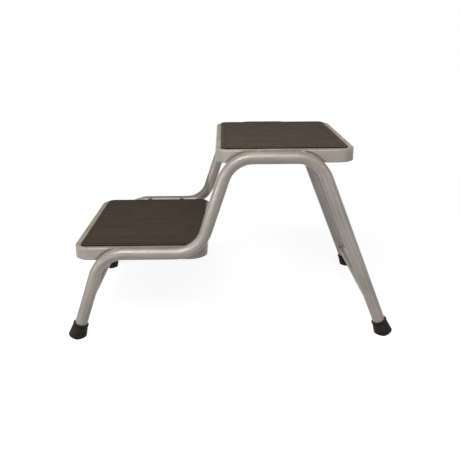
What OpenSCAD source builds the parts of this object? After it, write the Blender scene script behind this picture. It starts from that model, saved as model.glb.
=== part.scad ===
// Welded two-tread entry step: two bent tube side frames, two pressed steel treads with
// rubber mats, two stretchers between the legs and four rubber feet.
// Millimetres. X is the climbing direction with the low tread at -X, Y runs across the
// width and Z is up. The origin lies on the floor, under the middle of the step.

/* [Side frames] */
// Outer diameter of the frame tube
tube_d = 25.4; // [22:0.2:28]
// Wall thickness of the frame tube
tube_wall = 1.2; // [1:0.1:2.5]
// Centre-line radius of every bend
bend_r = 63.5; // [55:0.5:68]
// How much thinner the tube is drawn in its bends
bend_thinning = 0.6; // [0.3:0.1:1.2]
// Distance between the front and rear leg axes on the floor
foot_span = 647; // [630:1:690]
// Lean of the front legs from upright, in degrees
front_lean = 19.1; // [15:0.1:21]
// Lean of the risers between the treads, in degrees
riser_lean = 18.7; // [16:0.1:21]
// Lean of the rear legs from upright, in degrees
rear_lean = 21.8; // [18:0.1:23]
// Height of the tube axis along the low tread
lower_run_z = 183; // [175:1:195]
// Height of the tube axis along the high tread
upper_run_z = 377; // [365:1:395]
// Where the riser axis would cross the low run
riser_base_x = -63.5; // [-70:0.5:-55]

/* [Treads] */
// Length of each tread in the climbing direction
tread_length = 275; // [265:1:290]
// Width of each tread between the side frames
tread_width = 370; // [320:1:450]
// Middle of the low tread along X
lower_tread_x = -184.5; // [-192:0.5:-178]
// Middle of the high tread along X
upper_tread_x = 110.5; // [104:0.5:118]
// Height of the low tread's face above its tube axis
lower_tread_rise = 8.5; // [7:0.5:11]
// Height of the high tread's face above its tube axis
upper_tread_rise = 13; // [11:0.5:15]
// Depth of the skirt, measured from the tread's face
skirt_depth = 26.5; // [22:0.5:32]
// Corner radius of the tread seen from above
tread_corner_r = 36; // [25:1:45]
// Radius of the shoulder between face and skirt
shoulder_r = 4; // [3:0.5:6]
// Sheet thickness of the treads
sheet = 1.2; // [1:0.1:2.5]

/* [Mats] */
// Bare rim at the ends of the mats
mat_margin_x = 12; // [8:0.5:20]
// Bare rim along the long sides of the mats
mat_margin_y = 10; // [8:0.5:20]
// Thickness of the mats
mat_thick = 2; // [1.6:0.1:4]
// How far the low mat lies towards the riser from its tread's middle
lower_mat_shift = 1.5; // [-3:0.5:3]
// How far the high mat lies towards the riser from its tread's middle
upper_mat_shift = 1.5; // [-3:0.5:3]
// Corner radius of the mats
mat_corner_r = 14; // [8:1:20]
// Radius of the mats' upper edge
mat_edge_r = 0.8; // [0.4:0.1:1.5]

/* [Stretchers] */
// Outer diameter of the stretchers
bar_d = 16; // [12:0.5:20]
// Wall thickness of the stretchers
bar_wall = 1.2; // [1:0.1:2]
// Height of the front stretcher's axis
front_bar_z = 68; // [60:1:90]
// Height of the rear stretcher's axis
rear_bar_z = 48; // [48:1:90]

/* [Feet] */
// Length of each foot along its leg
foot_length = 31; // [27:0.5:33]
// Radius of the foot at the sole
sole_r = 18; // [16.5:0.5:22]
// Rubber thickness around the tube at the mouth
foot_wall = 2; // [1.5:0.1:3]
// Rubber thickness under the end of the tube
foot_web = 8; // [7.5:0.5:10]
// How far the lip stands out at the mouth
lip_out = 0.8; // [0.4:0.1:1.5]
// Height of the lip
lip_height = 3; // [2:0.5:4]
// Rounding of the sole's edge
sole_edge_r = 1.5; // [1:0.5:3]

/* [Weld beads] */
// Length of each bead along the tube
bead_length = 8; // [5:0.5:12]
// Distance from the start of each run to its first bead
bead_inset = 9.5; // [5:0.5:14]
// Distance from the low run's end back to its second bead
lower_bead_inset = 14.5; // [5:0.5:16]
// How far round the rear bend the high tread's second bead lies, in degrees
bead_turn = 12; // [6:1:16]
// Height of the beads' root above the tube axis
bead_root = 3.5; // [3:0.1:4]
// Height of the beads' face above the tube axis
bead_face = 10.2; // [9:0.1:10.4]

/* [Hidden] */

$fn = 64;
frame_y = (tread_width + tube_d) / 2;
front_x = -foot_span / 2;
rear_x = foot_span / 2;

// Corners of the side frame before bending, as X and height
corner_1 = [front_x + lower_run_z * tan(front_lean), lower_run_z];
corner_2 = [riser_base_x, lower_run_z];
corner_3 = [riser_base_x + (upper_run_z - lower_run_z) * tan(riser_lean), upper_run_z];
corner_4 = [rear_x - upper_run_z * tan(rear_lean), upper_run_z];

// Angle turned at each corner and the tube length each bend takes from it
front_turn = 90 - front_lean;
riser_turn = 90 - riser_lean;
rear_turn = 90 - rear_lean;
front_set = bend_r * tan(front_turn / 2);
riser_set = bend_r * tan(riser_turn / 2);
rear_set = bend_r * tan(rear_turn / 2);

// Straight lengths between the bends
front_leg = lower_run_z / cos(front_lean) - front_set - foot_web;
lower_run = corner_2[0] - corner_1[0] - front_set - riser_set;
riser = (upper_run_z - lower_run_z) / cos(riser_lean) - 2 * riser_set;
upper_run = corner_4[0] - corner_3[0] - riser_set - rear_set;
rear_leg = upper_run_z / cos(rear_lean) - rear_set - foot_web;

lower_face_z = lower_run_z + lower_tread_rise;
upper_face_z = upper_run_z + upper_tread_rise;
lower_run_start = corner_1[0] + front_set;
upper_run_start = corner_3[0] + riser_set;
upper_run_end = corner_4[0] - rear_set;
bead_overlap = 2;
bead_reach = tube_d / 2;
bead_angle = bead_length / bend_r * 180 / PI;

// Cross-section of a tube
module ring(d, wall) {
    difference() {
        circle(d = d);
        circle(d = d - 2 * wall);
    }
}

// Straight frame tube along X, with what follows placed at its end
module pipe(length) {
    rotate([90, 0, 90])
        linear_extrude(length)
            ring(tube_d, tube_wall);
    translate([length, 0, 0])
        children();
}

// Bend of the frame tube to the left, with what follows placed at its end
module turn_left(angle) {
    translate([0, bend_r, 0]) {
        rotate([0, 0, -90])
            rotate_extrude(angle = angle)
                translate([bend_r, 0])
                    ring(tube_d - bend_thinning, tube_wall);
        rotate([0, 0, angle])
            translate([0, -bend_r, 0])
                children();
    }
}

// Bend of the frame tube to the right, with what follows placed at its end
module turn_right(angle) {
    translate([0, -bend_r, 0])
        rotate([0, 0, -angle]) {
            rotate([0, 0, 90])
                rotate_extrude(angle = angle)
                    translate([bend_r, 0])
                        ring(tube_d - bend_thinning, tube_wall);
            translate([0, bend_r, 0])
                children();
        }
}

// One side frame, a single tube bent four times, followed up the front leg, along the
// low run, up the riser, along the high run and down the rear leg
module side_frame(y) {
    translate([front_x, y, 0])
        rotate([90, 0, 0])
            rotate([0, 0, front_turn])
                translate([foot_web, 0, 0])
                    pipe(front_leg)
                        turn_right(front_turn)
                            pipe(lower_run)
                                turn_left(riser_turn)
                                    pipe(riser)
                                        turn_right(riser_turn)
                                            pipe(upper_run)
                                                turn_right(rear_turn)
                                                    pipe(rear_leg);
}

// Upright strip with one rounded upper corner, standing down from the X axis
module shoulder(width, depth, r) {
    difference() {
        translate([0, -depth])
            square([width, depth]);
        translate([width - r, -r])
            difference() {
                square(2 * r);
                circle(r);
            }
    }
}

// Edge section of a pressed tread, from the corner's axis out to the skirt
module tread_section() {
    difference() {
        shoulder(tread_corner_r, skirt_depth, shoulder_r);
        translate([0, -sheet])
            shoulder(tread_corner_r - sheet, skirt_depth, shoulder_r - sheet);
    }
}

// Edge section of a mat, from the corner's axis out to its side
module mat_section() {
    shoulder(mat_corner_r, mat_thick, mat_edge_r);
}

// Plate of thickness t whose child section runs all round its rounded rectangle
module edged_plate(length, width, r, t) {
    inner_x = length - 2 * r;
    inner_y = width - 2 * r;
    for (quarter = [0 : 3]) {
        odd = quarter % 2;
        reach = odd ? inner_y / 2 : inner_x / 2;
        run = odd ? inner_x : inner_y;
        rotate([0, 0, 90 * quarter]) {
            translate([reach, run / 2, 0])
                rotate_extrude(angle = 90)
                    children();
            translate([reach, 0, 0])
                rotate([90, 0, 0])
                    linear_extrude(run, center = true)
                        children();
        }
    }
    translate([-inner_x / 2, -inner_y / 2, -t])
        cube([inner_x, inner_y, t]);
}

// Pressed tread, open underneath, with its face at height z
module tread(x, z) {
    translate([x, 0, z])
        edged_plate(tread_length, tread_width, tread_corner_r, sheet)
            tread_section();
}

// Rubber mat lying on a tread's face at height z
module mat(x, z) {
    translate([x, 0, z + mat_thick])
        edged_plate(tread_length - 2 * mat_margin_x, tread_width - 2 * mat_margin_y,
                    mat_corner_r, mat_thick)
            mat_section();
}

// Tube across the step between two legs, its ends shaped to sit on their round sides
module stretcher(foot_x, lean, z) {
    x = foot_x + z * tan(lean);
    difference() {
        translate([x, 0, z])
            rotate([90, 0, 0])
                linear_extrude(2 * frame_y, center = true)
                    ring(bar_d, bar_wall);
        for (side = [-1, 1])
            translate([x, side * frame_y, z])
                rotate([0, lean, 0])
                    cylinder(h = 4 * bar_d, d = tube_d, center = true);
    }
}

// Rubber ferrule on the end of a leg, its sole flattened where it stands on the floor
module foot(x, y, lean) {
    mouth_r = tube_d / 2 + foot_wall;
    neck_z = foot_length - lip_height;
    translate([x, y, 0])
        difference() {
            rotate([0, lean, 0])
                rotate_extrude()
                    difference() {
                        union() {
                            polygon([[0, sole_edge_r], [sole_r, sole_edge_r],
                                     [mouth_r, neck_z], [0, neck_z]]);
                            square([sole_r - sole_edge_r, sole_edge_r]);
                            translate([sole_r - sole_edge_r, sole_edge_r])
                                intersection() {
                                    circle(sole_edge_r);
                                    translate([0, -sole_edge_r])
                                        square(sole_edge_r);
                                }
                            translate([0, neck_z])
                                square([mouth_r + lip_out, lip_height]);
                        }
                        translate([0, foot_web])
                            square([tube_d / 2, foot_length]);
                    }
            translate([-2 * sole_r, -2 * sole_r, -4 * sole_r])
                cube(4 * sole_r);
        }
}

// Section of a weld bead in the groove between tube and tread, seen along the tube
module bead_section(rise) {
    difference() {
        translate([-bead_overlap, bead_root])
            square([bead_reach + bead_overlap, bead_face - bead_root]);
        translate([tube_d / 2, 0])
            circle(d = tube_d);
        translate([-tread_corner_r, rise])
            shoulder(tread_corner_r, skirt_depth, shoulder_r);
    }
}

// Straight weld bead on one side, centred at x on a run
module run_bead(x, side, run_z, rise) {
    translate([x, side * tread_width / 2, run_z])
        rotate([90, 0, side * 90])
            linear_extrude(bead_length, center = true)
                bead_section(rise);
}

// Section of the weld bead beside the thinner tube of a bend, flat against the skirt
module bend_bead_section() {
    difference() {
        translate([0, bead_root])
            square([bead_reach, bead_face - bead_root]);
        translate([tube_d / 2, 0])
            circle(d = tube_d - bend_thinning);
    }
}

// Weld bead on one side that follows the start of the rear bend
module rear_bend_bead(side) {
    translate([upper_run_end, side * tread_width / 2, upper_run_z])
        rotate([90, 0, side > 0 ? 0 : 180])
            translate([0, -bend_r, 0])
                rotate([0, 0, 90 - side * bead_turn - bead_angle / 2])
                    rotate_extrude(angle = bead_angle)
                        translate([bend_r, 0])
                            rotate([0, 0, -90])
                                bend_bead_section();
}

module side_frame_near() {
    color("silver")
        side_frame(-frame_y);
}

module side_frame_far() {
    color("silver")
        side_frame(frame_y);
}

module lower_tread() {
    color("lightgray")
        tread(lower_tread_x, lower_face_z);
}

module upper_tread() {
    color("lightgray")
        tread(upper_tread_x, upper_face_z);
}

module lower_mat() {
    color("dimgray")
        mat(lower_tread_x + lower_mat_shift, lower_face_z);
}

module upper_mat() {
    color("dimgray")
        mat(upper_tread_x - upper_mat_shift, upper_face_z);
}

module front_stretcher() {
    color("silver")
        stretcher(front_x, front_lean, front_bar_z);
}

module rear_stretcher() {
    color("silver")
        stretcher(rear_x, -rear_lean, rear_bar_z);
}

module foot_front_near() {
    color("black")
        foot(front_x, -frame_y, front_lean);
}

module foot_front_far() {
    color("black")
        foot(front_x, frame_y, front_lean);
}

module foot_rear_near() {
    color("black")
        foot(rear_x, -frame_y, -rear_lean);
}

module foot_rear_far() {
    color("black")
        foot(rear_x, frame_y, -rear_lean);
}

module lower_tread_beads() {
    color("gray")
        for (side = [-1, 1]) {
            run_bead(lower_run_start + bead_inset, side, lower_run_z, lower_tread_rise);
            run_bead(lower_run_start + lower_run - lower_bead_inset, side, lower_run_z,
                     lower_tread_rise);
        }
}

module upper_tread_beads() {
    color("gray")
        for (side = [-1, 1]) {
            run_bead(upper_run_start + bead_inset, side, upper_run_z, upper_tread_rise);
            rear_bend_bead(side);
        }
}

side_frame_near();
side_frame_far();
lower_tread();
upper_tread();
lower_mat();
upper_mat();
front_stretcher();
rear_stretcher();
foot_front_near();
foot_front_far();
foot_rear_near();
foot_rear_far();
lower_tread_beads();
upper_tread_beads();
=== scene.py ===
import math

import bmesh
import bpy
import numpy as np
from mathutils import Matrix


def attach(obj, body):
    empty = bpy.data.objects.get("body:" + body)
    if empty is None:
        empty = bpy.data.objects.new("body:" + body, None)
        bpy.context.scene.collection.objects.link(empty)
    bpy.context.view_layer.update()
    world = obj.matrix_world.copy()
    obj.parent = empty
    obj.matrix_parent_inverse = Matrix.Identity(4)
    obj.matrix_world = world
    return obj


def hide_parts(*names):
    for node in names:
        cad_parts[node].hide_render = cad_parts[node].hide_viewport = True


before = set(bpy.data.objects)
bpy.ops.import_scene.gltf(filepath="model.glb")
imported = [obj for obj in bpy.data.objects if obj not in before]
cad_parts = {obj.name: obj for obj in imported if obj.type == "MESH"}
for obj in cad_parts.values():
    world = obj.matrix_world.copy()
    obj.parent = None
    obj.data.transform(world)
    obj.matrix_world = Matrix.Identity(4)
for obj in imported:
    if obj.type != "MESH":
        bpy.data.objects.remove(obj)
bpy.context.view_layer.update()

MM = 0.001

# Sizes of the step in millimetres, the same as in its solids
TUBE_R = 12.7
BEND_R = 63.5
FOOT_SPAN = 647.0
FRONT_LEAN = math.radians(19.1)
RISER_LEAN = math.radians(18.7)
REAR_LEAN = math.radians(21.8)
LOWER_RUN_Z = 183.0
UPPER_RUN_Z = 377.0
RISER_BASE_X = -63.5
TREAD_LENGTH = 275.0
TREAD_WIDTH = 370.0
LOWER_TREAD_X = -184.5
UPPER_TREAD_X = 110.5
LOWER_FACE_Z = 191.5
UPPER_FACE_Z = 390.0
SKIRT_DEPTH = 26.5
TREAD_CORNER_R = 36.0
SHOULDER_R = 4.0
SHEET = 1.2
MAT_LENGTH = TREAD_LENGTH - 2 * 12.0
MAT_WIDTH = TREAD_WIDTH - 2 * 10.0
MAT_THICK = 2.0
LOWER_MAT_X = LOWER_TREAD_X + 1.5
UPPER_MAT_X = UPPER_TREAD_X - 1.5
MAT_CORNER_R = 14.0
MAT_EDGE_R = 0.8
BAR_R = 8.0
FRONT_BAR_Z = 68.0
REAR_BAR_Z = 48.0
FOOT_LENGTH = 31.0
SOLE_R = 18.0
SOLE_ROUND = 1.8
FOOT_WALL = 2.0
FOOT_WEB = 8.0
FRAME_Y = TREAD_WIDTH / 2 + TUBE_R
FRONT_X = -FOOT_SPAN / 2
REAR_X = FOOT_SPAN / 2

# Side tubes as seen: gap to the foot's web, and how a bend changes the round section
LEG_GAP = 0.4
BEND_FADE = 0.22
BEND_FLAT = 0.03
OUTER_FLAT = 0.05
FLANK_SWELL = 0.012
BEND_STEPS = 46
RUN_STEP = 12.0
TUBE_SIDES = 56

# Streaks in the paint of the tubes: lengths along the tube count this much in their pattern
STREAK_STRETCH = 0.05

# Tread pan: insets of the rows on its face, from the middle to the shoulder and close round
# the mat's edge, and heights of the rows on its skirt
FACE_MIDDLE = TREAD_LENGTH / 2 - 1e-3
FACE_INSETS = np.array([FACE_MIDDLE, 100.0, 60.0, TREAD_CORNER_R, 20.0, 15.0, 13.8, 12.9, 12.0,
                        11.1, 10.2, 9.3, 8.4, 7.5, 4.6])
SKIRT_HEIGHTS = -np.linspace(5.0, SKIRT_DEPTH - 1.5, 12)

# Painted shade sets in between the two values of each span. On a tube, in the groove by its
# tread: in from the tread's ends, out from the skirt, and above the tube's axis. On a pan, as a
# painted shadow: out to its side, in from the tube's outline, down from its face; and darker
# down to its lower edge
TUBE_SHADE_ALONG = (-2.0, 10.0)
TUBE_SHADE_OUT = (-20.0, -13.0)
TUBE_SHADE_ABOVE = (0.72 * TUBE_R, 0.95 * TUBE_R)
SKIRT_SHADOW_SIDE = (TREAD_WIDTH / 2 - 6.0, TREAD_WIDTH / 2 - 1.5)
SKIRT_SHADOW_BAND = (-TUBE_R - 2.8, -TUBE_R - 0.2)
SKIRT_SHADOW_DOWN = (0.4, 1.6)
SKIRT_DARK_EDGE = (SKIRT_DEPTH - 2.2, SKIRT_DEPTH - 0.5)
SKIRT_EDGE_SHARE = 0.7
# Width of the painted shadow line on a tread's face round the mat's edge
MAT_SHADOW_LINE_WIDTH = 0.9

# Ribs of the mats and the rows of points at their edges
RIB_PITCH = 4.6
RIB_DEPTH = 0.7
RIB_BORDER = 6.0
RIB_FADE = 1.5
RIB_STEPS = 9
RIB_LOWERED = 0.02
MAT_EDGE_ROWS = np.array([0.0, 0.06, 0.2, 0.45, 0.8, 1.3, 2.2, 3.4, 4.8, 6.0, 6.7, 7.5])
MAT_INNER_ROWS = (10.0, 14.0, 22.0)
MAT_MIDDLE_INSET = 40.0
LIT_EDGE_INSET = 2.4
LIT_EDGE_WIDTH = 1.2

# Stretchers: gap between their ends and the axes of the legs, and the welds on their ends
BAR_GAP = 4.0
END_WELD_R = 1.9
END_WELD_GAP = 0.2
END_WELD_BURNS = 6

# Welds between tubes and treads. For each tread: height of the tube's axis, lift of the weld
# above it, share painted dark as shade, and each weld's place along X with the tube's turn down
# there
WELD_R = 3.3
WELD_HALF_LENGTH = 5.5
WELD_OUT = 1.6
WELD_FLAT = 0.8
TREAD_WELDS = (
    ("lower", LOWER_RUN_Z, 8.4, 1.0, ((-205.4, 0.0), (-123.5, 0.0))),
    ("upper", UPPER_RUN_Z, 9.3, 0.0, ((57.2, 0.0), (143.0, math.radians(12.0)))))

# Feet: growth past the moulded size, ring grooves, and the lip at the mouth
FOOT_SWELL = 0.9
SOLE_ROWS = np.array([0.0, 8.0, 12.0, 14.5])
RING_PITCH = 3.8
RING_DEPTH = 0.4
RING_MARGIN = 3.0
LIP_R = 0.9
LIP_HALF_HEIGHT = 1.5

# Paints: light and dark tone, metallic share, roughness, dust, and whether it is streaked
PAINTS = {
    "tube": ((0.33, 0.295, 0.258), (0.275, 0.246, 0.215), 0.35, 0.39, 0.2, True),
    "pan": ((0.375, 0.335, 0.292), (0.33, 0.294, 0.255), 0.08, 0.45, 0.95, False),
    "weld": ((0.43, 0.39, 0.345), (0.32, 0.285, 0.25), 0.2, 0.45, 0.1, False)}

# Rubbers: tone, tone of worn places and of the mats' painted edge highlight, roughness, scale of
# the grain, dust and shine
MAT_WORN_AND_LIT = (0.085, 0.065, 0.05)
RUBBERS = {
    # The two mats are one rubber: the upper mat's lighter tone is painted light
    "mat_rubber_lower": ((0.040, 0.0295, 0.021), MAT_WORN_AND_LIT, 0.8, 900.0, 0.08, 0.1),
    "mat_rubber_upper": ((0.0565, 0.0410, 0.0295), MAT_WORN_AND_LIT, 0.8, 900.0, 0.12, 0.1),
    "foot_rubber": ((0.0055, 0.0045, 0.0035), (0.045, 0.038, 0.03), 0.55, 700.0, 0.06, 0.14)}

# Colours of wear, chips and dust, and of the darkening that is mostly painted shade
RUBBED_METAL = (0.62, 0.6, 0.57, 1)
CHIP_COLOR = (0.13, 0.085, 0.05, 1)
PAINT_DUST = (0.27, 0.21, 0.14, 1)
PAINT_SHADE_AND_DIRT = (0.085, 0.068, 0.05, 1)
RUBBER_DUST = (0.17, 0.145, 0.12, 1)
RUBBER_SHADE = (0.002, 0.0018, 0.0015, 1)

# Floor and surround. The floor gives back little light, but where it is seen it has its own
# shade and lift, and fades to plain white between two distances from the step, in metres.
# The surround lights the step by its rim level near the horizon and its zenith level above
FLOOR_BOUNCE = 0.04
FLOOR_SHADE = 0.33
FLOOR_LIFT = 0.885
FLOOR_FADE = (0.75, 1.6)
FLOOR_HALF = 12.0
FLOOR_DROP = 0.0002
RIM_LEVEL = 0.31
ZENITH_LEVEL = 0.1
RIM_TOP = 0.65

# Soft lamps: place, the point that they face, width and height, all in metres, and watts
LAMPS = (
    ("key_softbox", (-0.6, -1.05, 1.6), (0.0, 0.0, 0.25), (0.9, 0.9), 18.5),
    ("front_softbox", (0.2, -1.4, 1.4), (0.0, 0.0, 0.3), (0.8, 1.0), 8.0),
    ("side_softbox", (-3.0, -1.65, 0.6), (0.0, 0.0, 0.2), (0.9, 1.8), 29.0),
    ("low_softbox", (-0.8, -1.4, 0.35), (-0.25, 0.0, 0.15), (0.35, 0.6), 2.2),
    ("fill_softbox", (1.3, -1.45, 0.42), (0.0, 0.0, 0.2), (0.5, 1.0), 3.5))

# Camera, solved together with the step from the photograph
PHOTO_WIDTH = 460
CAMERA_AT = (-8.96, -1335.2, 609.85)
CAMERA_YAW = 0.0081
CAMERA_PITCH = 0.3212
CAMERA_ROLL = -0.0078
FOCAL_PIXELS = 600.6
SENSOR = 36.0
VIEW_REACH = 50.0


def aim(item, right, up, ahead, at):
    """Puts a camera or a lamp in its place. Both look along their own -Z."""
    turn = np.eye(4)
    turn[:3, 0], turn[:3, 1], turn[:3, 2], turn[:3, 3] = right, up, -ahead, at
    item.matrix_world = Matrix(turn.tolist())


def add_camera():
    """Camera from the solved view: it looks along yaw and pitch, then rolls about that line."""
    yaw, pitch, roll = CAMERA_YAW, CAMERA_PITCH, CAMERA_ROLL
    ahead = np.array([math.sin(yaw) * math.cos(pitch),
                      math.cos(yaw) * math.cos(pitch), -math.sin(pitch)])
    level = np.array([math.cos(yaw), -math.sin(yaw), 0.0])
    above = np.cross(level, ahead)
    right = math.cos(roll) * level + math.sin(roll) * above
    up = math.cos(roll) * above - math.sin(roll) * level
    data = bpy.data.cameras.new("photo_camera")
    data.sensor_fit = "HORIZONTAL"
    data.sensor_width = SENSOR
    data.lens = FOCAL_PIXELS / PHOTO_WIDTH * SENSOR
    data.clip_end = VIEW_REACH
    camera = bpy.data.objects.new("photo_camera", data)
    bpy.context.scene.collection.objects.link(camera)
    aim(camera, right, up, ahead, np.array(CAMERA_AT) * MM)
    bpy.context.scene.camera = camera


# Mesh building
def around(sides):
    """Angles of a full turn in equal steps."""
    return np.linspace(0.0, 2 * math.pi, sides, endpoint=False)


def grid_of(x, y, z):
    """Grid of points from three arrays or numbers, each stretched to the shape of them all."""
    return np.dstack(np.broadcast_arrays(x, y, z))


def ease(value, low, high):
    """0 below low, 1 above high, and a smooth step between."""
    share = np.clip((value - low) / (high - low), 0.0, 1.0)
    return share * share * (3 - 2 * share)


def quads_of(rows, columns, wrap_rows, wrap_columns, start):
    """Corner numbers of all the quads of a grid, with its ends joined where they wrap."""
    row = np.arange(rows if wrap_rows else rows - 1)
    column = np.arange(columns if wrap_columns else columns - 1)
    r, c = (a.ravel() for a in np.meshgrid(row, column, indexing="ij"))
    r_next, c_next = (r + 1) % rows, (c + 1) % columns
    corners = (r * columns + c, r * columns + c_next,
               r_next * columns + c_next, r_next * columns + c)
    return np.stack(corners, axis=1) + start


def build(name, grids, material, wear_and_highlight=0.0, dirt=0.0, flow=None):
    """One mesh from grids of points in millimetres. Each grid is an array (rows, columns, 3)
    with two flags that say whether its rows and its columns close on themselves.
    wear_and_highlight and dirt hold an array (rows, columns) per grid, or one number
    for all, and are kept as point attributes of those names: wear with painted highlight, and
    painted shade with burnt spots. flow is an array of vectors for a piece of one grid, for a
    pattern that follows its surface."""
    points, quads, start = [], [], 0
    shares = {"wear_and_highlight": [], "dirt": []}
    for number, (grid, wrap_rows, wrap_columns) in enumerate(grids):
        rows, columns = grid.shape[:2]
        points.append(grid.reshape(-1, 3))
        quads.append(quads_of(rows, columns, wrap_rows, wrap_columns, start))
        for label, given in (("wear_and_highlight", wear_and_highlight), ("dirt", dirt)):
            share = given[number] if isinstance(given, list) else given
            shares[label].append(np.broadcast_to(share, (rows, columns)).ravel())
        start += rows * columns
    points = np.concatenate(points) * MM
    quads = np.concatenate(quads).astype(np.int32)
    mesh = bpy.data.meshes.new(name)
    mesh.vertices.add(len(points))
    mesh.vertices.foreach_set("co", points.astype(np.float32).ravel())
    mesh.loops.add(quads.size)
    mesh.loops.foreach_set("vertex_index", quads.ravel())
    mesh.polygons.add(len(quads))
    mesh.polygons.foreach_set("loop_start", np.arange(0, quads.size, 4, dtype=np.int32))
    mesh.update(calc_edges=True)
    for label, share in shares.items():
        layer = mesh.attributes.new(label, "FLOAT", "POINT")
        layer.data.foreach_set("value", np.concatenate(share).astype(np.float32))
    if flow is not None:
        layer = mesh.attributes.new("flow", "FLOAT_VECTOR", "POINT")
        layer.data.foreach_set("vector", (flow * MM).astype(np.float32).ravel())
    close_mesh(mesh)
    mesh.materials.append(material)
    piece = bpy.data.objects.new(name, mesh)
    bpy.context.scene.collection.objects.link(piece)
    return piece


def close_mesh(mesh, reach=2e-6):
    """Merges the points that lie together at seams and poles and turns all faces outwards."""
    shape = bmesh.new()
    shape.from_mesh(mesh)
    bmesh.ops.remove_doubles(shape, verts=shape.verts, dist=reach)
    bmesh.ops.dissolve_degenerate(shape, edges=shape.edges, dist=reach / 2)
    bmesh.ops.recalc_face_normals(shape, faces=shape.faces)
    for face in shape.faces:
        face.smooth = True
    shape.to_mesh(mesh)
    shape.free()


def place(piece, slot, *nodes):
    """A finished piece rides on the step's one body and stands for these nodes, whose parts it
    hides. slot is not used.
    """
    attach(piece, "root")
    if nodes:
        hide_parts(*nodes)


# Side frames
def frame_path():
    """Centre line of a side frame in X and height: straight runs joined by arcs. Each arc has
    the bend radius, touches both runs and turns by the angle between them. Gives the points,
    their tangents and the bend, which is 0 on the runs and 1 or -1 inside an arc, by the side
    to which it turns."""
    rise = UPPER_RUN_Z - LOWER_RUN_Z
    corners = np.array([
        [FRONT_X, 0.0],
        [FRONT_X + LOWER_RUN_Z * math.tan(FRONT_LEAN), LOWER_RUN_Z],
        [RISER_BASE_X, LOWER_RUN_Z],
        [RISER_BASE_X + rise * math.tan(RISER_LEAN), UPPER_RUN_Z],
        [REAR_X - UPPER_RUN_Z * math.tan(REAR_LEAN), UPPER_RUN_Z],
        [REAR_X, 0.0]])
    ways = np.diff(corners, axis=0)
    ways /= np.linalg.norm(ways, axis=1)[:, None]
    corners[0] += ways[0] * (FOOT_WEB + LEG_GAP)
    corners[-1] -= ways[-1] * (FOOT_WEB + LEG_GAP)
    points, tangents, bend = [], [], []
    start = corners[0]
    for corner, before, after in zip(corners[1:-1], ways[:-1], ways[1:]):
        side = np.sign(before[0] * after[1] - before[1] * after[0])
        inward = side * np.array([-before[1], before[0]])
        turn = math.acos(np.clip(before @ after, -1.0, 1.0))
        reach = BEND_R * math.tan(turn / 2)
        entry = corner - before * reach
        add_run(points, tangents, bend, start, entry, before)
        steps = np.linspace(0.0, turn, BEND_STEPS)[:, None]
        cosine, sine = np.cos(steps), np.sin(steps)
        points.append(entry + BEND_R * (inward * (1 - cosine) + before * sine))
        tangents.append(before * cosine + inward * sine)
        bend.append(side * ease(np.minimum(steps, turn - steps)[:, 0], 0.0, BEND_FADE))
        start = corner + after * reach
    add_run(points, tangents, bend, start, corners[-1], ways[-1])
    return np.concatenate(points), np.concatenate(tangents), np.concatenate(bend)


def add_run(points, tangents, bend, start, end, way):
    """Straight stretch of the centre line, its points in even steps and its ends left out."""
    count = max(int(np.linalg.norm(end - start) / RUN_STEP), 2)
    share = np.linspace(0.0, 1.0, count + 1)[1:-1, None]
    points.append(start + (end - start) * share)
    tangents.append(np.repeat(way[None], count - 1, axis=0))
    bend.append(np.zeros(count - 1))


def frame_tube(name, y, material):
    """Tube around the centre line. A point is the centre plus the radius times the cosine of
    the round angle along the normal, plus the radius times its sine across. In a bend the
    outer side is pressed in and the flanks stand out a little, as a drawn tube has it. The
    first and last rows have no radius and close the ends."""
    centre, tangent, bend = (np.concatenate([a[:1], a, a[-1:]]) for a in frame_path())
    radius = np.full((len(bend), 1), TUBE_R)
    radius[[0, -1]] = 0.0
    normal = np.stack([-tangent[:, 1], tangent[:, 0]], axis=1)
    angle = around(TUBE_SIDES)[None]
    cosine, sine = np.cos(angle), np.sin(angle)
    press, side = np.abs(bend)[:, None], np.sign(bend)[:, None]
    outer = np.clip(-cosine * side, 0.0, 1.0)
    inner = np.clip(cosine * side, 0.0, 1.0)
    along = radius * cosine * (1 - press * (BEND_FLAT + OUTER_FLAT * outer ** 2))
    across = radius * sine * (1 + FLANK_SWELL * press)
    grid = grid_of(centre[:, :1] + normal[:, :1] * along, y + across,
                   centre[:, 1:] + normal[:, 1:] * along)
    steps = np.linalg.norm(np.diff(centre, axis=0), axis=1)
    length = np.concatenate([[0.0], np.cumsum(steps)])[:, None]
    flow = grid_of(length * STREAK_STRETCH, TUBE_R * cosine, TUBE_R * sine + 2 * y)
    return build(name, [(grid, False, True)], material, [inner ** 3 * press],
                 [tube_groove_shade(grid)], flow)


def tube_groove_shade(grid):
    """Painted shade on a side tube: in the groove between its top and the tread that it carries,
    most on the side that faces the skirt, and only along the tread."""
    x, y, z = np.moveaxis(grid, 2, 0)
    dirt = np.zeros(x.shape)
    towards_skirt = ease(TREAD_WIDTH / 2 - np.abs(y), *TUBE_SHADE_OUT)
    for tread_x, run_z in ((LOWER_TREAD_X, LOWER_RUN_Z), (UPPER_TREAD_X, UPPER_RUN_Z)):
        along = ease(TREAD_LENGTH / 2 - np.abs(x - tread_x), *TUBE_SHADE_ALONG)
        above = ease(z - run_z, *TUBE_SHADE_ABOVE)
        dirt = np.maximum(dirt, along * above * towards_skirt)
    return dirt


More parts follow.
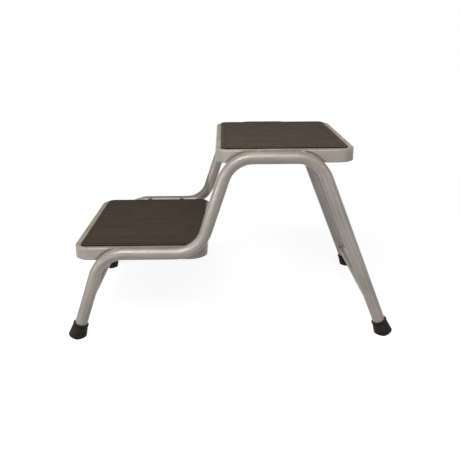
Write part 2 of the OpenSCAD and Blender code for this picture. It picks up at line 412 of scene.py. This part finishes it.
# Treads
def outline(length, width, radius, inset, corner_steps=22, edge_steps=90):
    """Rounded rectangle moved inwards by each value of inset: quarter circles about the
    corner centres, whose radius is the corner radius less the inset, joined by straight
    edges. Gives an array (insets, points, 2)."""
    inset = np.atleast_1d(inset)[:, None]
    arc = np.maximum(radius - inset, 0.0)
    half_x = length / 2 - np.maximum(radius, inset)
    half_y = width / 2 - np.maximum(radius, inset)
    corners = []
    for quarter, (sx, sy) in enumerate(((1, 1), (-1, 1), (-1, -1), (1, -1))):
        turn = math.pi / 2 * (quarter + np.linspace(0.0, 1.0, corner_steps))[None]
        corners.append(np.stack([sx * half_x + arc * np.cos(turn),
                                 sy * half_y + arc * np.sin(turn)], axis=2))
    share = np.linspace(0.0, 1.0, edge_steps + 1)[1:-1][None, :, None]
    ring = []
    for corner, following in zip(corners, corners[1:] + corners[:1]):
        ring.append(corner)
        ring.append(corner[:, -1:] + (following[:, :1] - corner[:, -1:]) * share)
    return np.concatenate(ring, axis=1)


def pan_profile():
    """Section of a pressed tread as inset from its outline and height below its face: face,
    quarter round over the shoulder, skirt, small round at the lower edge, and back up inside
    at one sheet thickness. Gives also the share of wear, most on the shoulder."""
    face, skirt = FACE_INSETS, SKIRT_HEIGHTS
    round_top = np.linspace(0.0, math.pi / 2, 9)
    outer_x = SHOULDER_R - SHOULDER_R * np.sin(round_top)
    outer_z = -SHOULDER_R + SHOULDER_R * np.cos(round_top)
    lip = SHEET / 2
    round_lip = np.linspace(0.0, math.pi, 9)
    lip_x = lip - lip * np.cos(round_lip)
    lip_z = -SKIRT_DEPTH + lip - lip * np.sin(round_lip)
    inside = skirt[::-3]
    inner_r = SHOULDER_R - SHEET
    round_in = np.linspace(math.pi / 2, 0.0, 7)
    inner_x = SHEET + inner_r - inner_r * np.sin(round_in)
    inner_z = -SHEET - inner_r + inner_r * np.cos(round_in)
    x = np.concatenate([face, outer_x, 0 * skirt, lip_x, SHEET + 0 * inside, inner_x,
                        face[::-1]])
    z = np.concatenate([0 * face, outer_z, skirt, lip_z, inside, inner_z, -SHEET + 0 * face])
    wear_and_highlight = np.concatenate([0 * face, np.sin(2 * round_top) ** 2, 0 * skirt, np.sin(round_lip),
                           0 * inside, 0 * inner_x, 0 * face])
    return x, z, wear_and_highlight


def tread_pan(name, x, z, mat_x, material):
    """Pressed tread: its section runs round the rounded rectangle. The face ends in a line
    along Y where the two long sides meet, which closes it."""
    inset, height, wear_and_highlight = pan_profile()
    ring = outline(TREAD_LENGTH, TREAD_WIDTH, TREAD_CORNER_R, inset)
    grid = grid_of(ring[..., 0] + x, ring[..., 1], height[:, None] + z)
    line_half = TREAD_WIDTH / 2 - FACE_MIDDLE
    for row in (0, -1):
        grid[row, :, 0] = x
        grid[row, :, 1] = np.clip(ring[row, :, 1], -line_half, line_half)
    on_face = grid[..., 2] > z - SHEET / 2
    # Painted shadow in a thin line on the face round the mat's edge
    mat_shadow_line = 1.0 - ease(-mat_inset(grid[..., 0] - mat_x, grid[..., 1]), 0.0, MAT_SHADOW_LINE_WIDTH)
    dirt = np.maximum(skirt_shadow_and_dark_edge(grid, z), np.where(on_face, mat_shadow_line, 0.0))
    return build(name, [(grid, False, True)], material, [wear_and_highlight[:, None]], [dirt])


def skirt_shadow_and_dark_edge(grid, face_z):
    """Painted shadow on a tread's skirt in a narrow band along the outline of the side tube,
    from the distance to the tube's centre line, and a darkening along its lower edge. The face
    and the crown of the shoulder stay untouched."""
    x, y, z = np.moveaxis(grid, 2, 0)
    path = frame_path()[0][:, None]
    spot = np.stack([x.ravel(), z.ravel()], axis=1)[None]
    away = np.sqrt(np.min(np.sum((path - spot) ** 2, axis=2), axis=0)).reshape(z.shape)
    beside = ease(np.abs(y), *SKIRT_SHADOW_SIDE)
    below = face_z - z
    band = ease(-away, *SKIRT_SHADOW_BAND) * beside * ease(below, *SKIRT_SHADOW_DOWN)
    return np.maximum(band, SKIRT_EDGE_SHARE * ease(below, *SKIRT_DARK_EDGE))


# Mats
def mat_inset(x, y):
    """Distance inside a mat's rounded rectangle, below 0 outside it: the corner radius less
    the length of the part beyond the corner centres."""
    out_x = np.abs(x) - (MAT_LENGTH / 2 - MAT_CORNER_R)
    out_y = np.abs(y) - (MAT_WIDTH / 2 - MAT_CORNER_R)
    beyond = np.hypot(np.maximum(out_x, 0.0), np.maximum(out_y, 0.0))
    return MAT_CORNER_R - beyond - np.minimum(np.maximum(out_x, out_y), 0.0)


def mat_surface(x, y):
    """Height of the mat's top above the tread: full thickness, rounded off at the outline by
    a quarter circle, with grooves along X whose depth is a flattened cosine of Y. The depth
    fades out towards the plain border. Gives also the share of wear and highlight: wear most in
    the grooves, and a painted highlight in a line just inside the outline."""
    edge = np.maximum(mat_inset(x, y), 0.0)
    near = np.clip(MAT_EDGE_R - edge, 0.0, MAT_EDGE_R)
    drop = MAT_EDGE_R - np.sqrt(np.maximum(MAT_EDGE_R ** 2 - near ** 2, 0.0))
    wave = 0.5 - 0.5 * np.cos(2 * math.pi * y / RIB_PITCH)
    groove = ease(1.9 * wave - 0.75, 0.0, 1.0)
    groove = groove * np.clip((edge - RIB_BORDER) / RIB_FADE, 0.0, 1.0)
    lit_edge = np.exp(-((edge - LIT_EDGE_INSET) / LIT_EDGE_WIDTH) ** 2)
    return MAT_THICK - drop - RIB_DEPTH * groove, np.maximum(groove, lit_edge)


def ribbed_mat(name, x, z, material):
    """Mat as a height over a grid. Rows lie across Y, and each row is stretched along X to the
    rounded outline. Four strips down from the outline and a flat underside close it. They and
    the lowered top where the share of wear and highlight stays low, the rounded edge and the
    flanks of the grooves, are darkened as painted shade."""
    inner = MAT_WIDTH / 2 - MAT_CORNER_R
    corner = np.linspace(8.5, MAT_CORNER_R, 5)
    low = -MAT_WIDTH / 2 + np.concatenate([MAT_EDGE_ROWS, corner])
    fine = np.arange(-inner, inner, RIB_PITCH / RIB_STEPS)[1:]
    rows = np.concatenate([low, fine, -low[::-1]])[:, None]
    out = np.clip(np.abs(rows) - inner, 0.0, MAT_CORNER_R)
    half = MAT_LENGTH / 2 - MAT_CORNER_R + np.sqrt(MAT_CORNER_R ** 2 - out ** 2)
    left = -half + np.concatenate([MAT_EDGE_ROWS, MAT_INNER_ROWS])[None]
    middle = np.linspace(-1.0, 1.0, 9)[None] * (half - MAT_MIDDLE_INSET)
    column = np.concatenate([left, middle, -left[:, ::-1]], axis=1)
    top, wear_and_highlight = mat_surface(column, rows)
    grid = grid_of(column + x, rows, top + z)
    base = grid.copy()
    base[..., 2] = z
    ends = [np.stack([grid[k], base[k]]) for k in (0, -1)]
    sides = [np.stack([grid[:, k], base[:, k]]) for k in (0, -1)]
    grids = [(g, False, False) for g in [grid, base] + ends + sides]
    rest = len(grids) - 1
    lowered = ((top < MAT_THICK - RIB_LOWERED) & (wear_and_highlight < 0.5)).astype(float)
    return build(name, grids, material, [wear_and_highlight] + [0.0] * rest, [lowered] + [1.0] * rest)


# Stretchers
def cross_tube(name, x, z, material):
    """Straight round tube across the step. Its ends run into the legs, to their axes less a
    small clearance, and close there in flat discs."""
    reach = FRAME_Y - BAR_GAP
    across = np.concatenate([[-reach, -reach], np.linspace(-180.0, 180.0, 7),
                             [reach, reach]])[:, None]
    radius = np.array([0.0] + [BAR_R] * 9 + [0.0])[:, None]
    angle = around(40)[None]
    grid = grid_of(x + radius * np.cos(angle), across, z + radius * np.sin(angle))
    flow = grid_of(grid[..., 1] * STREAK_STRETCH, grid[..., 0], grid[..., 2])
    return build(name, [(grid, False, True)], material, flow=flow)


def end_welds(name, x, z, lean, material):
    """Weld bead round each end of a stretcher, where it meets the round side of the leg. The
    middle of the bead follows the curve in which the two tubes cross, and its section is a
    small circle whose radius swells in ripples as it goes round. A sine of the way round
    leaves burnt spots on it."""
    turn = around(96)[:, None]
    section = around(12)[None]
    bead = END_WELD_R * (1.0 + 0.14 * np.sin(turn * 15) + 0.10 * np.sin(turn * 4 + 0.7))
    ring = BAR_R + END_WELD_GAP
    depth = np.sqrt(TUBE_R ** 2 - (ring * np.cos(turn + lean)) ** 2)
    out = ring + bead * np.cos(section)
    along = FRAME_Y - depth - bead * np.sin(section) - END_WELD_GAP
    grids = [(grid_of(x + out * np.cos(turn), side * along, z + out * np.sin(turn)), True, True)
             for side in (-1, 1)]
    dark_share = ease(np.sin(turn * END_WELD_BURNS + 0.5), 0.1, 0.8)
    return build(name, grids, material, dirt=[dark_share] * 2)


# Tread welds
def tread_welds(name, run_z, lift, dark_share, spots, material):
    """Short welds in the groove between a tube run and the skirt of its tread. Each is a
    lying drop: its section is a circle that shrinks to nothing at both ends as a half
    ellipse does, with ripples along it. The turn of the tube at a spot tilts the weld and
    drops it."""
    along = np.linspace(-1.0, 1.0, 33)[:, None]
    angle = around(20)[None]
    swell = np.sqrt(np.maximum(1 - along ** 2, 0.0)) * (1 + 0.09 * np.cos(along * 14))
    radius = WELD_R * swell
    length = WELD_HALF_LENGTH * along
    rise = radius * np.sin(angle)
    out = TREAD_WIDTH / 2 + WELD_OUT + WELD_FLAT * radius * np.cos(angle)
    grids = []
    for side in (-1, 1):
        for spot, turn in spots:
            x = spot + length * math.cos(turn) + rise * math.sin(turn)
            level = run_z + lift - BEND_R * (1 - math.cos(turn))
            z = level - length * math.sin(turn) + rise * math.cos(turn)
            grids.append((grid_of(x, side * out, z), False, True))
    # The welds are painted dark as shade by the given share: fully on the lower tread, not on
    # the upper
    return build(name, grids, material, dirt=dark_share)


# Feet
def foot_profile():
    """Half section of a foot as radius and distance up the leg: sole with a rounded edge,
    flared side with shallow ring grooves as a sine squared of the height, lip at the mouth,
    and the bore down to the web. The worn rubber has swollen a little past the size that it
    was moulded to. Gives also the share of wear, most between the grooves."""
    mouth = TUBE_R + FOOT_WALL + FOOT_SWELL / 2
    sole = SOLE_R + FOOT_SWELL
    top = FOOT_LENGTH + FOOT_SWELL
    neck = top - 2 * LIP_HALF_HEIGHT
    sole_turn = np.linspace(-math.pi / 2, 0.0, 7)[:-1]
    sole_r = sole - SOLE_ROUND + SOLE_ROUND * np.cos(sole_turn)
    sole_z = SOLE_ROUND + SOLE_ROUND * np.sin(sole_turn)
    side_z = np.linspace(SOLE_ROUND, neck - 0.8, 49)
    ringed = (side_z > RING_MARGIN) & (side_z < neck - RING_MARGIN)
    rings = np.maximum(np.sin(2 * math.pi * side_z / RING_PITCH), 0.0) ** 2 * ringed
    side_r = np.linspace(sole, mouth, len(side_z)) - RING_DEPTH * rings
    lip_turn = np.linspace(-math.pi / 2, math.pi / 2, 9)
    lip_r = mouth + LIP_R * np.cos(lip_turn) ** 0.6
    lip_z = neck + 1.3 + LIP_HALF_HEIGHT * np.sin(lip_turn)
    bore_r = np.array([TUBE_R + 0.5, TUBE_R + 0.05, TUBE_R + 0.02, TUBE_R - 0.5, 0.0])
    bore_z = np.array([top - 0.2, top - 0.8, FOOT_WEB + 0.3, FOOT_WEB, FOOT_WEB])
    radius = np.concatenate([SOLE_ROWS, sole_r, side_r, lip_r, bore_r])
    lift = np.concatenate([0 * SOLE_ROWS, sole_z, side_z, lip_z, bore_z])
    worn = np.concatenate([0 * SOLE_ROWS, 0 * sole_r, (1.0 - rings) * ringed, 0 * lip_r,
                           0 * bore_r])
    return radius, lift, worn


def leg_foot(name, x, y, lean, material):
    """Foot turned about the leg's line. Points that would go below the floor are laid on it,
    so the sole is worn flat where it stands."""
    radius, lift, worn = (a[:, None] for a in foot_profile())
    angle = around(64)[None]
    across = radius * np.cos(angle)
    grid_x = x + across * math.cos(lean) + lift * math.sin(lean)
    grid_z = np.maximum(-across * math.sin(lean) + lift * math.cos(lean), 0.0)
    grid = grid_of(grid_x, y + radius * np.sin(angle), grid_z)
    return build(name, [(grid, False, True)], material, [worn])


# Shader nodes
def new_group(name, inputs, outputs):
    """Empty shader group with named inputs (name, kind, value) and outputs (name, kind)."""
    tree = bpy.data.node_groups.new(name, "ShaderNodeTree")
    for label, kind, value in inputs:
        socket = tree.interface.new_socket(label, in_out="INPUT", socket_type=kind)
        socket.default_value = value
    for label, kind in outputs:
        tree.interface.new_socket(label, in_out="OUTPUT", socket_type=kind)
    return tree, tree.nodes.new("NodeGroupInput"), tree.nodes.new("NodeGroupOutput")


def put(tree, kind, settings=None, **sockets):
    """A node with its settings, its sockets set to a value or linked to another's output. A
    socket is named by its label, with _ for a space, or by its number, as in _0."""
    made = tree.nodes.new(kind)
    for key, value in (settings or {}).items():
        setattr(made, key, value)
    for key, value in sockets.items():
        which = int(key[1:]) if key[1:].isdigit() else key.replace("_", " ")
        socket = made.inputs[which]
        if isinstance(value, bpy.types.NodeSocket):
            tree.links.new(value, socket)
        else:
            socket.default_value = value
    return made


def use_group(tree, group, **sockets):
    """A node that stands for a shared group."""
    return put(tree, "ShaderNodeGroup", {"node_tree": group}, **sockets)


def calc(tree, operation, a, b=0.0, c=0.0, clamp=False):
    """One calculation with up to three values."""
    return put(tree, "ShaderNodeMath", {"operation": operation, "use_clamp": clamp},
               _0=a, _1=b, _2=c).outputs[0]


def blend_colors(tree, share, a, b, mode="MIX"):
    """Colour a turned into b by the share."""
    return put(tree, "ShaderNodeMix", {"data_type": "RGBA", "blend_type": mode},
               _0=share, _6=a, _7=b).outputs[2]


def spread(tree, value, low, high, to_low=0.0, to_high=1.0):
    """value moved from the span low..high to another span, eased and held at its ends."""
    return put(tree, "ShaderNodeMapRange", {"interpolation_type": "SMOOTHSTEP"},
               _0=value, _1=low, _2=high, _3=to_low, _4=to_high).outputs[0]


def noise(tree, vector, scale, detail=3.0, roughness=0.55):
    """Cloudy noise around 0.5."""
    return put(tree, "ShaderNodeTexNoise", Vector=vector, Scale=scale, Detail=detail,
               Roughness=roughness).outputs[0]


def attribute(tree, name, output="Fac"):
    """One of the point attributes that build() keeps on a mesh."""
    return put(tree, "ShaderNodeAttribute", {"attribute_name": name}).outputs[output]


# Shared effects
def paint_texture_group():
    """Height of sprayed paint or moulded skin: soft waves of orange peel and a finer grain."""
    tree, source, result = new_group(
        "paint_texture",
        [("Vector", "NodeSocketVector", (0, 0, 0)), ("Peel Scale", "NodeSocketFloat", 500.0),
         ("Grain Scale", "NodeSocketFloat", 2200.0), ("Grain Share", "NodeSocketFloat", 0.3)],
        [("Height", "NodeSocketFloat")])
    given = source.outputs
    peel = noise(tree, given["Vector"], given["Peel Scale"], 2.0)
    grain = noise(tree, given["Vector"], given["Grain Scale"], 1.0)
    share = calc(tree, "MULTIPLY", grain, given["Grain Share"])
    tree.links.new(calc(tree, "ADD", peel, share), result.inputs["Height"])
    return tree


def cover_group(name, make_mask, label, color, amount, **scales):
    """Group that lays a second colour, named by its label, over the given one. make_mask
    makes the share of it from the group's tree and inputs, and the amount scales that."""
    tree, source, result = new_group(
        name,
        [("Vector", "NodeSocketVector", (0, 0, 0)), ("Color", "NodeSocketColor", (1, 1, 1, 1)),
         (label, "NodeSocketColor", color), ("Amount", "NodeSocketFloat", amount)]
        + [(key.replace("_", " "), "NodeSocketFloat", value) for key, value in scales.items()],
        [("Color", "NodeSocketColor"), ("Mask", "NodeSocketFloat")])
    given = source.outputs
    mask = calc(tree, "MULTIPLY", make_mask(tree, given), given["Amount"], clamp=True)
    tree.links.new(blend_colors(tree, mask, given["Color"], given[label]),
                   result.inputs["Color"])
    tree.links.new(mask, result.inputs["Mask"])
    return tree


def dust_mask(tree, given):
    """Dust has settled where the surface looks up, broken into patches."""
    facing = put(tree, "ShaderNodeSeparateXYZ",
                 _0=put(tree, "ShaderNodeNewGeometry").outputs["Normal"]).outputs[2]
    patches = noise(tree, given["Vector"], given["Patch Scale"], 5.0)
    return calc(tree, "MULTIPLY", spread(tree, facing, 0.2, 1.0),
                spread(tree, patches, 0.2, 0.6))


def wear_and_highlight_mask(tree, given):
    """Rubbed places, and on the mats a painted highlight, where "wear_and_highlight" is high and
    a fine noise lets through.
    """
    broken = noise(tree, given["Vector"], given["Break Scale"], 4.0)
    return calc(tree, "MULTIPLY", attribute(tree, "wear_and_highlight"), spread(tree, broken, 0.3, 0.7))


def shade_and_dirt_mask(tree, given):
    """Darkening for painted shade and burnt spots, where "dirt" is high, its border
    broken by a noise.
    """
    broken = noise(tree, given["Vector"], given["Break Scale"], 4.0)
    dirt = calc(tree, "SUBTRACT", attribute(tree, "dirt"), 0.25)
    return spread(tree, calc(tree, "MULTIPLY_ADD", broken, 0.5, dirt), 0.1, 0.9)


def chip_mask(tree, given):
    """Sparse chips where a fine noise is highest, more of them where "wear_and_highlight" is
    high.
    """
    specks = noise(tree, given["Vector"], given["Chip Scale"], 3.0, 0.6)
    level = calc(tree, "MULTIPLY_ADD", attribute(tree, "wear_and_highlight"), given["Edge Share"], specks)
    return spread(tree, level, 0.69, 0.75)


def shared_groups():
    """All the shared effects by name."""
    return {
        "paint": paint_texture_group(),
        "dust": cover_group("settled_dust", dust_mask, "Dust Color", (0.5, 0.45, 0.4, 1), 0.2,
                            Patch_Scale=40.0),
        "wear_and_highlight": cover_group("rubbed_edges_and_highlight", wear_and_highlight_mask, "Rubbed Color", (0.7, 0.7, 0.7, 1), 0.5,
                            Break_Scale=160.0),
        # Darkening that paints shade, and burnt spots on welds
        "dirt": cover_group("painted_shade_and_dirt", shade_and_dirt_mask, "Dirt Color", (0.05, 0.04, 0.03, 1), 0.8,
                            Break_Scale=220.0),
        "chips": cover_group("paint_chips", chip_mask, "Chip Color", (0.12, 0.07, 0.04, 1), 0.6,
                             Chip_Scale=150.0, Edge_Share=0.1)}


# Materials
def new_material(name, constants):
    """Material with a Principled shader, whose even values are set on its own sockets."""
    material = bpy.data.materials.new(name)
    material.use_nodes = True
    tree = material.node_tree
    shader = tree.nodes["Principled BSDF"]
    for label, value in constants.items():
        shader.inputs[label].default_value = value
    return material, tree, shader, put(tree, "ShaderNodeTexCoord").outputs["Object"]


def add_bump(tree, shader, height, strength, distance):
    """Fine height of the skin as a bump."""
    made = put(tree, "ShaderNodeBump", Height=height, Strength=strength, Distance=distance)
    tree.links.new(made.outputs[0], shader.inputs["Normal"])


def silver_paint(name, groups, light, dark, metallic, roughness, dust, streaked):
    """Sprayed silver-grey paint: cloudy tone, metal flakes, orange peel, rubbed shoulders,
    chips, dust, darkening that paints shade in grooves, along outlines and on welds, with burnt
    spots on welds and a darker lower skirt edge, and, on the tubes, faint streaks that run along
    them."""
    material, tree, shader, vector = new_material(
        name, {"Metallic": metallic, "IOR": 1.5, "Coat Weight": 0.25, "Coat Roughness": 0.3})
    cloud = spread(tree, noise(tree, vector, 14.0, 4.0, 0.6), 0.3, 0.7)
    color = blend_colors(tree, cloud, (*dark, 1), (*light, 1))
    flake = spread(tree, noise(tree, vector, 3200.0, 1.0), 0.35, 0.75, 0.93, 1.07)
    if streaked:
        along = noise(tree, attribute(tree, "flow", "Vector"), 240.0, 3.0, 0.5)
        flake = calc(tree, "MULTIPLY", flake, spread(tree, along, 0.3, 0.7, 0.86, 1.08))
    fleck = put(tree, "ShaderNodeCombineXYZ", _0=flake, _1=flake, _2=flake).outputs[0]
    color = blend_colors(tree, 1.0, color, fleck, "MULTIPLY")
    lightened = use_group(tree, groups["wear_and_highlight"], Vector=vector, Color=color,
                       Rubbed_Color=RUBBED_METAL, Amount=0.35)
    chipped = use_group(tree, groups["chips"], Vector=vector, Color=lightened.outputs["Color"],
                        Chip_Color=CHIP_COLOR, Amount=0.7)
    dusty = use_group(tree, groups["dust"], Vector=vector, Color=chipped.outputs["Color"],
                      Dust_Color=PAINT_DUST, Amount=dust, Patch_Scale=18.0)
    darkened = use_group(tree, groups["dirt"], Vector=vector, Color=dusty.outputs["Color"],
                      Dirt_Color=PAINT_SHADE_AND_DIRT, Amount=0.65)
    tree.links.new(darkened.outputs["Color"], shader.inputs["Base Color"])
    uneven = spread(tree, noise(tree, vector, 60.0), 0.25, 0.75,
                    roughness - 0.05, roughness + 0.06)
    covered = calc(tree, "MAXIMUM", dusty.outputs["Mask"], darkened.outputs["Mask"])
    matte = calc(tree, "MULTIPLY_ADD", covered, 0.35, uneven, clamp=True)
    tree.links.new(matte, shader.inputs["Roughness"])
    peel = use_group(tree, groups["paint"], Vector=vector, Peel_Scale=420.0,
                     Grain_Scale=2400.0, Grain_Share=0.35)
    add_bump(tree, shader, peel.outputs["Height"], 0.35, 0.00012)
    return material


def rubber(name, groups, color, worn, roughness, grain_scale, dust, shine):
    """Moulded rubber: near-black and streaked along X, with a fine skin, worn places, dust, and
    on the mats a painted highlight in a line inside the edge and painted shade on their sides,
    edge and groove flanks."""
    material, tree, shader, vector = new_material(
        name, {"Metallic": 0.0, "IOR": 1.5, "Specular IOR Level": shine})
    drawn = put(tree, "ShaderNodeVectorMath", {"operation": "MULTIPLY"}, _0=vector,
                _1=(0.16, 1.0, 1.0)).outputs["Vector"]
    streaks = spread(tree, noise(tree, drawn, 70.0, 4.0, 0.6), 0.3, 0.7)
    base = blend_colors(tree, streaks, (*color, 1), (*(1.32 * c for c in color), 1))
    lightened = use_group(tree, groups["wear_and_highlight"], Vector=vector, Color=base,
                       Rubbed_Color=(*worn, 1), Amount=0.45, Break_Scale=90.0)
    dusty = use_group(tree, groups["dust"], Vector=vector, Color=lightened.outputs["Color"],
                      Dust_Color=RUBBER_DUST, Amount=dust, Patch_Scale=26.0)
    darkened = use_group(tree, groups["dirt"], Vector=vector, Color=dusty.outputs["Color"],
                      Dirt_Color=RUBBER_SHADE, Amount=1.0)
    tree.links.new(darkened.outputs["Color"], shader.inputs["Base Color"])
    uneven = spread(tree, noise(tree, vector, 90.0), 0.25, 0.75,
                    roughness - 0.07, roughness + 0.07)
    tree.links.new(uneven, shader.inputs["Roughness"])
    skin = use_group(tree, groups["paint"], Vector=vector, Peel_Scale=grain_scale,
                     Grain_Scale=3000.0, Grain_Share=0.6)
    add_bump(tree, shader, skin.outputs["Height"], 0.4, 0.0001)
    return material


# Studio
def add_panel(name, at, towards, size, watts):
    """Soft rectangular lamp that faces a point."""
    data = bpy.data.lights.new(name, "AREA")
    data.shape = "RECTANGLE"
    data.size, data.size_y = size
    data.energy = watts
    lamp = bpy.data.objects.new(name, data)
    bpy.context.scene.collection.objects.link(lamp)
    ahead = np.array(towards) - np.array(at)
    ahead /= np.linalg.norm(ahead)
    right = np.cross(ahead, (0.0, 0.0, 1.0))
    right /= np.linalg.norm(right)
    aim(lamp, right, np.cross(right, ahead), ahead, at)
    lamp.visible_camera = False


def shows_surround(tree):
    """1 for rays that show the surround itself: from the camera, a mirror or through glass."""
    rays = put(tree, "ShaderNodeLightPath").outputs
    seen = calc(tree, "MAXIMUM", rays["Is Camera Ray"], rays["Is Transmission Ray"])
    return calc(tree, "MAXIMUM", seen, rays["Is Glossy Ray"])


def add_floor():
    """Wide pale floor. Seen directly it is lifted to white and keeps the shadow near the
    step, and further off it fades into plain white, so that no horizon shows."""
    half = FLOOR_HALF
    corners = [(-half, -half, 0), (half, -half, 0), (half, half, 0), (-half, half, 0)]
    mesh = bpy.data.meshes.new("studio_floor")
    mesh.from_pydata(corners, [], [(0, 1, 2, 3)])
    material, tree, shader, spot = new_material(
        "studio_floor", {"Roughness": 1.0, "Specular IOR Level": 0.0, "Emission Strength": 1.0})
    seen = shows_surround(tree)
    away = put(tree, "ShaderNodeVectorMath", {"operation": "LENGTH"}, _0=spot).outputs["Value"]
    fade = calc(tree, "MULTIPLY", spread(tree, away, *FLOOR_FADE), seen)
    near = blend_colors(tree, seen, (FLOOR_BOUNCE,) * 3 + (1,), (FLOOR_SHADE,) * 3 + (1,))
    tree.links.new(blend_colors(tree, fade, near, (0, 0, 0, 1)), shader.inputs["Base Color"])
    lift = blend_colors(tree, seen, (0, 0, 0, 1), (FLOOR_LIFT,) * 3 + (1,))
    tree.links.new(blend_colors(tree, fade, lift, (1, 1, 1, 1)), shader.inputs["Emission Color"])
    mesh.materials.append(material)
    floor = bpy.data.objects.new("studio_floor", mesh)
    floor.location.z = -FLOOR_DROP
    bpy.context.scene.collection.objects.link(floor)


def light_studio():
    """White surround that lights the step more from its rim than from overhead, and the soft
    lamps: a key from the upper left of the camera, a front light for the gloss on the upper
    runs, and lights from both sides and low at the left."""
    world = bpy.data.worlds.new("studio")
    bpy.context.scene.world = world
    world.use_nodes = True
    tree = world.node_tree
    way = put(tree, "ShaderNodeSeparateXYZ",
              _0=put(tree, "ShaderNodeTexCoord").outputs["Generated"])
    overhead = spread(tree, way.outputs[2], 0.0, RIM_TOP, RIM_LEVEL, ZENITH_LEVEL)
    level = calc(tree, "MAXIMUM", overhead, shows_surround(tree))
    background = tree.nodes["Background"]
    tree.links.new(level, background.inputs["Strength"])
    background.inputs["Color"].default_value = (1, 1, 1, 1)
    for lamp in LAMPS:
        add_panel(*lamp)


# Scene
def make_step():
    """All the pieces of the step in their finishes."""
    groups = shared_groups()
    paints = {word: silver_paint(f"silver_paint_{word}", groups, *values)
              for word, values in PAINTS.items()}
    rubbers = {word: rubber(word, groups, *values) for word, values in RUBBERS.items()}
    for word, y in (("near", -FRAME_Y), ("far", FRAME_Y)):
        place(frame_tube(f"frame_tube_{word}", y, paints["tube"]), "painted_steel",
              f"side_frame_{word}")
        for end, x, lean in (("front", FRONT_X, FRONT_LEAN), ("rear", REAR_X, -REAR_LEAN)):
            place(leg_foot(f"boot_{end}_{word}", x, y, lean, rubbers["foot_rubber"]),
                  "foot_rubber", f"foot_{end}_{word}")
    for word, x, mat_x, z in (("lower", LOWER_TREAD_X, LOWER_MAT_X, LOWER_FACE_Z),
                              ("upper", UPPER_TREAD_X, UPPER_MAT_X, UPPER_FACE_Z)):
        place(tread_pan(f"pressed_pan_{word}", x, z, mat_x, paints["pan"]), "painted_steel",
              f"{word}_tread")
        place(ribbed_mat(f"ribbed_mat_{word}", mat_x, z, rubbers[f"mat_rubber_{word}"]),
              "mat_rubber", f"{word}_mat")
    for word, *weld in TREAD_WELDS:
        place(tread_welds(f"skirt_welds_{word}", *weld, paints["weld"]), "painted_steel",
              f"{word}_tread_beads")
    for word, foot_x, lean, z in (("front", FRONT_X, FRONT_LEAN, FRONT_BAR_Z),
                                  ("rear", REAR_X, -REAR_LEAN, REAR_BAR_Z)):
        x = foot_x + z * math.tan(lean)
        place(cross_tube(f"cross_tube_{word}", x, z, paints["tube"]), "painted_steel",
              f"{word}_stretcher")
        place(end_welds(f"cross_tube_welds_{word}", x, z, lean, paints["weld"]),
              "painted_steel")


bpy.context.scene.view_settings.view_transform = "Standard"
add_camera()
add_floor()
light_studio()
make_step()
